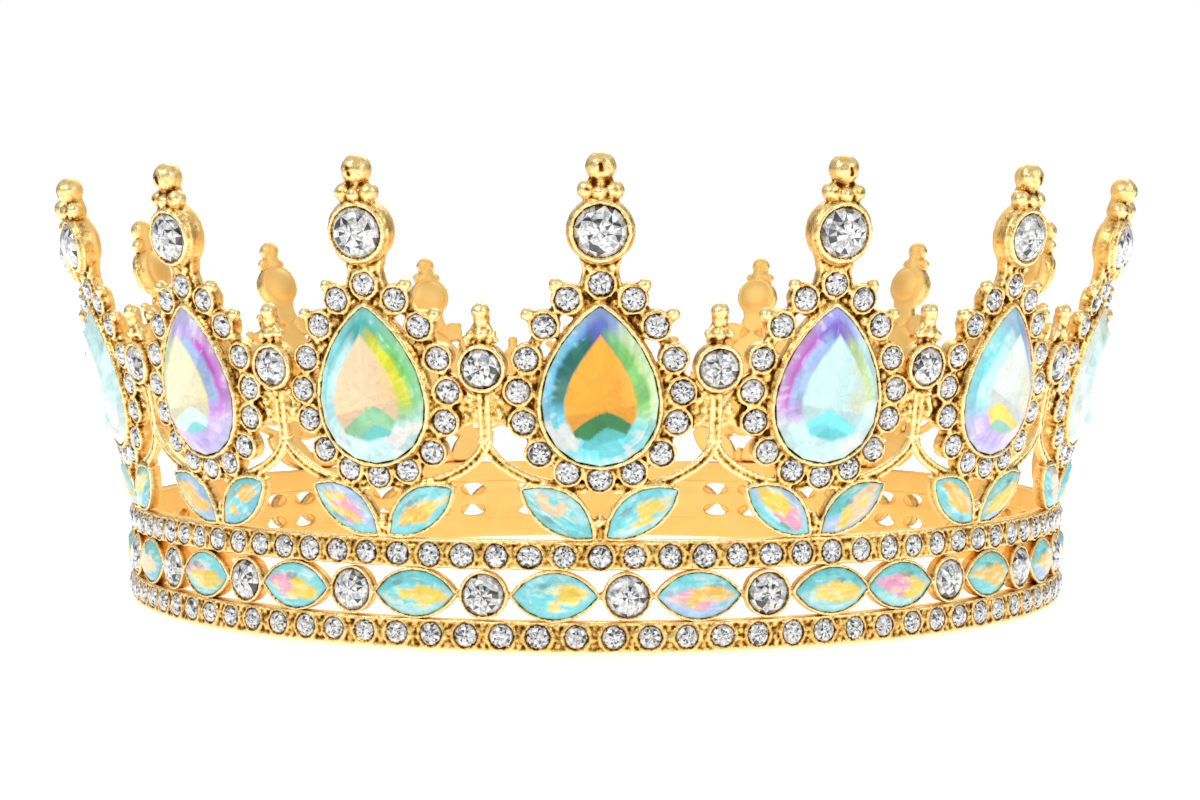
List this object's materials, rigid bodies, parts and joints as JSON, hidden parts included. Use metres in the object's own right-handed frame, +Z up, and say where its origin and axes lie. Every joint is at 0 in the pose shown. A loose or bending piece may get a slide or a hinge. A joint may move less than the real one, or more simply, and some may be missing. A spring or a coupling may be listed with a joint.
{
  "type": "crown",
  "caption": "Full round gold-tone dress crown with pear-stone panels, leaning spires and a jewelled double band with an open chain of stones.",
  "frame": {"origin": "centre of the head opening, in the plane of the lower band's underside, on the table", "axes": "+Z up, -Y towards the front panel, +X to the viewer's right when seen from the front"},
  "size_m": [0.1762, 0.173, 0.0648],
  "materials": {
    "gold": "gold-tone cast metal, smooth at the back, granular in the front recesses",
    "aurora_crystal": "foil-backed cut crystal with an iridescent coat",
    "clear_crystal": "foil-backed clear cut crystal"
  },
  "bodies": {
    "root": {"lower_band": "gold", "upper_band": "gold", "chain_almond_cups": "gold", "chain_round_cups": "gold", "posts": "gold", "panel_01": "gold", "panel_02": "gold", "panel_03": "gold", "panel_04": "gold", "panel_05": "gold", "panel_06": "gold", "panel_07": "gold", "panel_08": "gold", "panel_09": "gold", "panel_10": "gold", "panel_11": "gold", "panel_12": "gold", "panel_13": "gold", "panel_14": "gold", "panel_15": "gold", "panel_16": "gold", "pear_stone_01": "aurora_crystal", "pear_stone_02": "aurora_crystal", "pear_stone_03": "aurora_crystal", "pear_stone_04": "aurora_crystal", "pear_stone_05": "aurora_crystal", "pear_stone_06": "aurora_crystal", "pear_stone_07": "aurora_crystal", "pear_stone_08": "aurora_crystal", "pear_stone_09": "aurora_crystal", "pear_stone_10": "aurora_crystal", "pear_stone_11": "aurora_crystal", "pear_stone_12": "aurora_crystal", "pear_stone_13": "aurora_crystal", "pear_stone_14": "aurora_crystal", "pear_stone_15": "aurora_crystal", "pear_stone_16": "aurora_crystal", "leaf_stones": "aurora_crystal", "chain_almond_stones": "aurora_crystal", "halo_stones": "clear_crystal", "spire_stones": "clear_crystal", "post_stones": "clear_crystal", "lower_band_stones": "clear_crystal", "upper_band_stones": "clear_crystal", "chain_round_stones": "clear_crystal"}
  },
  "joints": []
}
